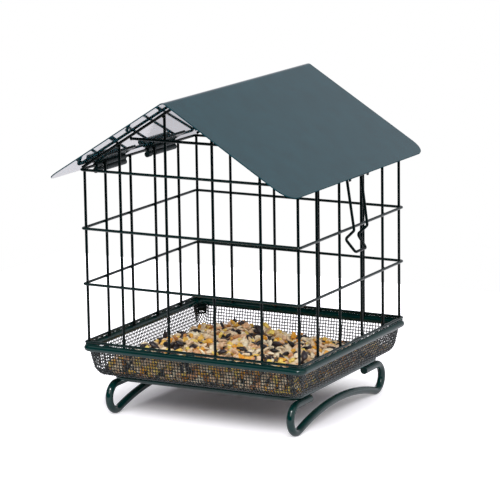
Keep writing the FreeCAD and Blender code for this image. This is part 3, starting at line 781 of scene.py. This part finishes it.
def add_node(tree, kind, inputs=None, **values):
    """Outputs of a new node, whose attributes are set from values."""
    node = tree.nodes.new(kind)
    for name, value in values.items():
        setattr(node, name, value)
    set_inputs(tree, node, inputs or {})
    return node.outputs


def maths(tree, operation, *inputs, kind="ShaderNodeMath", **values):
    """Result of a Math node, or of a Vector Math node that gives a vector."""
    return add_node(tree, kind, dict(enumerate(inputs)), operation=operation, **values)[0]


def ranged(tree, value, span, levels, **values):
    """A value carried from a span to the levels at its two ends, and kept between them."""
    inputs = {"Value": value, "From Min": span[0], "From Max": span[1], "To Min": levels[0],
              "To Max": levels[1]}
    return add_node(tree, "ShaderNodeMapRange", inputs, **values)["Result"]


def mixed_value(tree, share, first, second):
    """A number between two; a Mix node's sockets go by place, because its kinds share their names."""
    return add_node(tree, "ShaderNodeMix", {0: share, 2: first, 3: second})[0]


def mixed_colour(tree, share, first, second):
    """A colour between two."""
    return add_node(tree, "ShaderNodeMix", {0: share, 6: first, 7: second}, data_type="RGBA")[2]


def noise(tree, scale, detail):
    """Noise over the piece's own place."""
    place = add_node(tree, "ShaderNodeTexCoord")["Object"]
    return add_node(tree, "ShaderNodeTexNoise", {"Vector": place, "Scale": scale, "Detail": detail})["Fac"]


def bumped(tree, height, strength, distance):
    """Normals that a height bends."""
    inputs = {"Height": height, "Strength": strength, "Distance": distance}
    return add_node(tree, "ShaderNodeBump", inputs)["Normal"]


def new_group(name, inputs, outputs):
    """An empty shader node group with sockets of named kinds, its inputs and its output node."""
    group = bpy.data.node_groups.new(name, "ShaderNodeTree")
    for way, sockets in (("INPUT", inputs), ("OUTPUT", outputs)):
        for label, kind in sockets.items():
            group.interface.new_socket(label, in_out=way, socket_type=f"NodeSocket{kind}")
    return group, group.nodes.new("NodeGroupInput").outputs, group.nodes.new("NodeGroupOutput")


def coating_group():
    """Dipped coating: its shade drifts slowly, its gloss varies, and its skin ripples like orange peel."""
    group, given, result = new_group(
        "Dipped Coating",
        {"Color": "Color", "Mottle": "Float", "Roughness": "Float", "Peel Scale": "Float"},
        {"Color": "Color", "Roughness": "Float", "Height": "Float"})
    centred = maths(group, "SUBTRACT", noise(group, DRIFT_SCALE, detail=3.0), 0.5)
    swing = maths(group, "MULTIPLY", centred, given["Mottle"])
    bright = maths(group, "MULTIPLY_ADD", swing, MOTTLE_GAIN, 1.0)
    tinted = add_node(group, "ShaderNodeHueSaturation", {"Color": given["Color"], "Value": bright})
    set_inputs(group, result, {"Color": tinted["Color"],
                               "Roughness": maths(group, "ADD", swing, given["Roughness"]),
                               "Height": noise(group, given["Peel Scale"], detail=2.0)})
    return group


def coated(kind, rough, specular, coat, group, mottle=1.0, ripple=RIPPLE):
    """A coated finish in one kind of piece's colour; mottle scales the shared setting."""
    material, tree, shader = new_material(f"{kind} coating")
    inputs = {"Color": (*getattr(coat, kind), 1), "Mottle": coat.mottle * mottle, "Roughness": rough,
              "Peel Scale": 1 / coat.peel}
    skin = add_node(tree, "ShaderNodeGroup", inputs, node_tree=group)
    set_inputs(tree, shader, {"Base Color": skin["Color"], "Roughness": skin["Roughness"],
                              "Specular IOR Level": specular,
                              "Normal": bumped(tree, skin["Height"], ripple, PEEL_DEPTH)})
    return material


def dull_edges(material, gloss):
    """Lays a clear layer of a given weight on a sheet's two faces and takes the gloss off its cut edges.

    Faces and edges are told apart by the upright part of the piece's own normal.
    """
    tree = material.node_tree
    shader = tree.nodes["Principled BSDF"]
    normal = add_node(tree, "ShaderNodeTexCoord")["Normal"]
    upright = maths(tree, "ABSOLUTE", add_node(tree, "ShaderNodeSeparateXYZ", {"Vector": normal})["Z"])
    for name, level in (("Coat Weight", gloss), ("Specular IOR Level", FULL_GLOSS)):
        shown = ranged(tree, upright, (EDGE_UPRIGHT, FACE_UPRIGHT), (0, level))
        set_inputs(tree, shader, {name: shown})


def seed_skin_group():
    """Skin of a seed: between a pale and a deep colour by each seed's own tone, broken by fine grain."""
    group, given, result = new_group("Seed Skin", {"Tone": "Float", "Pale": "Color", "Deep": "Color"},
                                     {"Color": "Color", "Height": "Float"})
    grain = noise(group, GRAIN_SCALE, detail=4.0)
    spread = maths(group, "MULTIPLY_ADD", grain, GRAIN_SPREAD, -GRAIN_SPREAD / 2)
    depth = maths(group, "ADD", given["Tone"], spread, use_clamp=True)
    shade = mixed_colour(group, depth, given["Pale"], given["Deep"])
    set_inputs(group, result, {"Color": shade, "Height": grain})
    return group


def seed_finish(name, group, seed):
    """Finish of one kind of seed; the tone comes from the piece's own attribute."""
    material, tree, shader = new_material(f"{name} seed")
    inputs = {"Tone": add_node(tree, "ShaderNodeAttribute", attribute_name="tone")["Fac"],
              "Pale": (*getattr(seed, name), 1), "Deep": (*getattr(seed, f"{name}_deep"), 1)}
    skin = add_node(tree, "ShaderNodeGroup", inputs, node_tree=group)
    set_inputs(tree, shader, {"Base Color": skin["Color"], "Roughness": SEED_KINDS[name].rough,
                              "Normal": bumped(tree, skin["Height"], GRAIN_BUMP, GRAIN_DEPTH)})
    return material


def core_finish(seed):
    """Packed seed seen between the loose ones: cells in the mix's colours, with painted shade in the gaps
    between them.
    """
    material, tree, shader = new_material("packed seed")
    pattern = {"Vector": add_node(tree, "ShaderNodeTexCoord")["Object"], "Scale": CORE_SCALE}
    cells = add_node(tree, "ShaderNodeTexVoronoi", pattern)["Color"]
    gaps = add_node(tree, "ShaderNodeTexVoronoi", pattern, feature="DISTANCE_TO_EDGE")["Distance"]
    kinds = tree.nodes.new("ShaderNodeValToRGB")
    set_inputs(tree, kinds, {"Fac": cells})
    ramp = kinds.color_ramp
    ramp.interpolation = "CONSTANT"
    while len(ramp.elements) < len(CORE_MIX):
        ramp.elements.new(1.0)
    for element, (name, start) in zip(ramp.elements, CORE_MIX.items()):
        element.position = start
        element.color = (*getattr(seed, name), 1)
    edge = ranged(tree, gaps, (0, GAP_WIDE), (0, 1))
    # painted shade: each cell darkens towards its edge
    shade = mixed_colour(tree, edge, GAP_PAINTED_SHADE, kinds.outputs["Color"])
    set_inputs(tree, shader, {"Base Color": shade, "Roughness": CORE_ROUGH,
                              "Normal": bumped(tree, edge, CORE_BUMP, CORE_DEPTH)})
    return material


class FEEDER_OT_coat_metal(bpy.types.Operator):
    """Coats the carried-over wires, rods and sheet"""

    bl_idname = "feeder.coat_metal"
    bl_label = "Coat Metal"

    def execute(self, context):
        coat = context.scene.feeder_coat
        made = partial(coated, coat=coat, group=coating_group())
        # painted shade: wire and ring coatings are darker copies of the rods' coating
        wire = made("wire", coat.wire_rough, coat.wire_gloss, mottle=FINE_MOTTLE, ripple=FINE_RIPPLE)
        ring = made("ring", coat.wire_rough, coat.ring_gloss, mottle=FINE_MOTTLE, ripple=FINE_RIPPLE)
        rod = made("rod", coat.rod_rough, coat.rod_gloss)
        roof = made("roof", coat.roof_rough, FULL_GLOSS, mottle=FLAT_MOTTLE, ripple=FLAT_RIPPLE)
        dull_edges(roof, coat.roof_gloss)
        clip = made("clip", coat.clip_rough, coat.clip_gloss)
        made("mesh", coat.rod_rough, coat.mesh_gloss)
        finishes = {"roof_panel": roof, **dict.fromkeys(CLIPS, clip), **dict.fromkeys(RODS, rod),
                    **dict.fromkeys(RINGS, ring)}
        for name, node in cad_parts.items():
            node.data.materials.clear()
            node.data.materials.append(finishes.get(name, wire))
        return {"FINISHED"}


class FEEDER_OT_weave_tray(bpy.types.Operator):
    """Weaves the tray from two families of wire, bent up at its sides"""

    bl_idname = "feeder.weave_tray"
    bl_label = "Weave Tray"

    def execute(self, context):
        points, sets = woven_wires(context.scene.feeder_weave)
        coating = bpy.data.materials["mesh coating"]
        new_piece("woven_tray", points, sets, coating, ["tray_mesh"])
        return {"FINISHED"}


class FEEDER_OT_fold_tabs(bpy.types.Operator):
    """Hangs a small slotted tab from the rim across each corner of the tray"""

    bl_idname = "feeder.fold_tabs"
    bl_label = "Fold Tabs"

    def execute(self, context):
        points, sets = corner_tabs(context.scene.feeder_weave)
        new_piece("corner_tabs", points, sets, bpy.data.materials["wire coating"])
        return {"FINISHED"}


class FEEDER_OT_pour_seed(bpy.types.Operator):
    """Fills the tray with a heap of mixed seed"""

    bl_idname = "feeder.pour_seed"
    bl_label = "Pour Seed"

    def execute(self, context):
        seed, weave = context.scene.feeder_seed, context.scene.feeder_weave
        draw = np.random.default_rng(seed.draw)
        points, sets = heap_core(seed, weave)
        new_piece("seed_core", points, sets, core_finish(seed), ["seed_fill"])
        names, places, turns = seed_layout(draw, seed, weave)
        tones = draw.uniform(0, 1, len(names)) ** TONE_POWER
        spread = draw.uniform(*SEED_SPREAD, (len(names), 3))
        group = seed_skin_group()
        for name, kind in SEED_KINDS.items():
            chosen = names == name
            scales = spread[chosen] * np.array([kind.long, kind.wide, kind.thick]) * MM
            shape = seed_shape(kind)
            swell = 1 + kind.chip * draw.uniform(-1, 1, (len(scales), len(shape), 1))
            points, sets = copies(shape, ring_faces(kind.rings, kind.sides), scales, turns[chosen],
                                  places[chosen], swell)
            tone = np.repeat(tones[chosen], len(shape))
            finish = seed_finish(name, group, seed)
            new_piece(f"seed_{name}", pressed_in(points, weave), sets, finish,
                      smooth=kind.chip == 0, tone=tone)
        return {"FINISHED"}


class FEEDER_OT_bead_welds(bpy.types.Operator):
    """Puts a small weld bead wherever two wires of the cage cross"""

    bl_idname = "feeder.bead_welds"
    bl_label = "Bead Welds"

    def execute(self, context):
        welds = context.scene.feeder_welds
        low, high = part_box("corner_post_front_left")
        places, outs = weld_spots(high[0] - low[0])
        draw = np.random.default_rng(welds.draw)
        scales = np.array([welds.along, welds.across, welds.up]) * draw.uniform(*BEAD_SPREAD, places.shape)
        points, sets = beads(places, outs, scales)
        new_piece("weld_beads", points, sets, bpy.data.materials["wire coating"])
        return {"FINISHED"}


class FEEDER_OT_bridge_rim(bpy.types.Operator):
    """Rounds the four tack welds on the rim and closes parts of the slit above it with runs of coating"""

    bl_idname = "feeder.bridge_rim"
    bl_label = "Bridge Rim"

    def execute(self, context):
        welds = context.scene.feeder_welds
        draw = np.random.default_rng(welds.draw)
        material = bpy.data.materials["rod coating"]
        ring_low, ring_high = (np.array(corner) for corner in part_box("bottom_ring"))
        wire = ring_high[2] - ring_low[2]
        slit_low, slit_high = (corner[2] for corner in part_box("tack_weld_front"))
        gap = slit_high - slit_low
        tacks = [f"tack_weld_{side}" for side in TACK_OUTS]
        places = np.array([node_middle(name) for name in tacks])
        scales = np.tile([TACK_ALONG, TACK_ACROSS, gap], (len(tacks), 1))
        points, sets = beads(places, np.array(list(TACK_OUTS.values()), float), scales)
        new_piece("tack_beads", points, sets, material, tacks)
        middle, half = (ring_low + ring_high) / 2, (ring_high - ring_low - wire) / 2
        points, sets = slit_runs(draw, welds, middle, half, wire, slit_low, gap)
        new_piece("coating_runs", points, sets, material)
        return {"FINISHED"}


def floor_lift(tree, stage):
    """Painted light: white that the floor gives off, growing smoothly with the distance outside the
    shadow's heart, so that cast shadows there turn white.
    """
    vector = partial(maths, tree, kind="ShaderNodeVectorMath")
    away = vector("SUBTRACT", add_node(tree, "ShaderNodeTexCoord")["Object"], stage.shade_middle)
    past = vector("SUBTRACT", vector("ABSOLUTE", away), stage.shade_half)
    outside = vector("MAXIMUM", past, (0, 0, 0))
    distance = add_node(tree, "ShaderNodeVectorMath", {0: outside}, operation="LENGTH")["Value"]
    return ranged(tree, distance, (0, stage.shade_fade), (stage.lift, stage.far_lift),
                  interpolation_type="SMOOTHSTEP")


def add_floor(stage):
    """A plain pale floor sheet that gives off painted light: white for the camera, and a share of that for
    gloss.
    """
    material, tree, shader = new_material("floor sheet")
    path = add_node(tree, "ShaderNodeLightPath")
    looked_at = maths(tree, "MULTIPLY_ADD", path["Is Glossy Ray"], stage.gloss_lift, path["Is Camera Ray"])
    strength = maths(tree, "MULTIPLY", looked_at, floor_lift(tree, stage))
    set_inputs(tree, shader, {"Base Color": (*stage.floor, 1), "Roughness": FLOOR_ROUGH,
                              "Specular IOR Level": 0.0, "Emission Color": WHITE,
                              "Emission Strength": strength})
    half = stage.floor_half
    corners = np.array([[-half, -half, 0], [half, -half, 0], [half, half, 0], [-half, half, 0]])
    mesh = new_mesh("floor", corners, [np.array([[0, 1, 2, 3]])], material, smooth=False)
    floor = add_object("floor", mesh)


class Lamp(NamedTuple):
    """Where a soft light comes from, and its width, in degrees.

    The azimuth runs round from the front to the right, and the elevation is above the horizon.
    """

    azimuth: float
    elevation: float
    spread: float


LAMPS = {"key": Lamp(22, 42, 40), "fill": Lamp(-30, 75, 70), "side": Lamp(80, 25, 60),
         "glint": Lamp(24, 52, 8)}


def add_sun(name, strength, lamp):
    """A soft light from a lamp's direction; the glint shows only in gloss."""
    light = bpy.data.lights.new(name, "SUN")
    light.energy = strength
    light.angle = math.radians(lamp.spread)
    sun = add_object(name, light)
    sun.rotation_euler = (math.radians(90 - lamp.elevation), 0, math.radians(lamp.azimuth))
    sun.visible_diffuse = name != "glint"


def add_world(stage):
    """White for what the camera sees; gloss sees the floor's tint, dim behind the camera and overhead."""
    world = bpy.data.worlds.new("studio")
    bpy.context.scene.world = world
    world.use_nodes = True
    tree = world.node_tree
    path = add_node(tree, "ShaderNodeLightPath")
    direction = add_node(tree, "ShaderNodeTexCoord")["Generated"]
    split = add_node(tree, "ShaderNodeSeparateXYZ", {"Vector": direction})
    backdrop = ranged(tree, split["Y"], BACKDROP, (stage.room, 1.0))
    ceiling = ranged(tree, split["Z"], CEILING, (1.0, stage.zenith))
    mirrored = maths(tree, "MULTIPLY", backdrop, ceiling)
    level = mixed_value(tree, path["Is Glossy Ray"], stage.ambient, mirrored)
    seen = maths(tree, "MAXIMUM", path["Is Camera Ray"], path["Is Transmission Ray"])
    tint = mixed_colour(tree, path["Is Glossy Ray"], WHITE, (*stage.floor, 1))
    strength = mixed_value(tree, seen, level, 1.0)
    set_inputs(tree, tree.nodes["Background"], {"Color": tint, "Strength": strength})


def add_camera(stage):
    """The camera at the photograph's place: looking back along its azimuth and elevation, then rolled."""
    around, above, roll = stage.azimuth, stage.elevation, stage.roll
    back = np.array([math.sin(around) * math.cos(above), -math.cos(around) * math.cos(above),
                     math.sin(above)])
    right = unit(np.cross(-back, [0, 0, 1]))
    up = np.cross(back, right)
    matrix = np.eye(4)
    matrix[:3, 0] = math.cos(roll) * right + math.sin(roll) * up
    matrix[:3, 1] = math.cos(roll) * up - math.sin(roll) * right
    matrix[:3, 2] = back
    matrix[:3, 3] = stage.eye
    camera = bpy.data.cameras.new("camera")
    camera.lens = stage.lens
    eye = add_object("camera", camera)
    eye.matrix_world = Matrix(matrix)
    bpy.context.scene.camera = eye


class FEEDER_OT_set_stage(bpy.types.Operator):
    """Sets the floor, the light and the camera"""

    bl_idname = "feeder.set_stage"
    bl_label = "Set Stage"

    def execute(self, context):
        stage = context.scene.feeder_stage
        context.scene.view_settings.view_transform = "Standard"
        add_floor(stage)
        for name, lamp in LAMPS.items():
            add_sun(name, getattr(stage, name), lamp)
        add_world(stage)
        add_camera(stage)
        return {"FINISHED"}


STEPS = (FEEDER_OT_coat_metal, FEEDER_OT_weave_tray, FEEDER_OT_fold_tabs, FEEDER_OT_pour_seed,
         FEEDER_OT_bead_welds, FEEDER_OT_bridge_rim, FEEDER_OT_set_stage)


class FEEDER_PT_panel(bpy.types.Panel):
    """Lists the feeder's settings and steps"""

    bl_idname = "FEEDER_PT_panel"
    bl_label = "Bird Feeder"
    bl_space_type = "VIEW_3D"
    bl_region_type = "UI"
    bl_category = "Feeder"

    def draw(self, context):
        for attribute, group in SETTINGS.items():
            box = self.layout.box()
            for name in group.__annotations__:
                box.prop(getattr(context.scene, attribute), name)
        for step in STEPS:
            self.layout.operator(step.bl_idname)


CLASSES = (*SETTINGS.values(), *STEPS, FEEDER_PT_panel)


def register():
    """Registers the classes and puts the settings on the scene."""
    for item in CLASSES:
        bpy.utils.register_class(item)
    for attribute, group in SETTINGS.items():
        setattr(bpy.types.Scene, attribute, PointerProperty(type=group))


def unregister():
    """Takes the settings and the classes away again."""
    for attribute in SETTINGS:
        delattr(bpy.types.Scene, attribute)
    for item in reversed(CLASSES):
        bpy.utils.unregister_class(item)


def main():
    """Runs every step in order."""
    register()
    bpy.ops.feeder.coat_metal()
    bpy.ops.feeder.weave_tray()
    bpy.ops.feeder.fold_tabs()
    bpy.ops.feeder.pour_seed()
    bpy.ops.feeder.bead_welds()
    bpy.ops.feeder.bridge_rim()
    bpy.ops.feeder.set_stage()


if __name__ == "__main__":
    main()
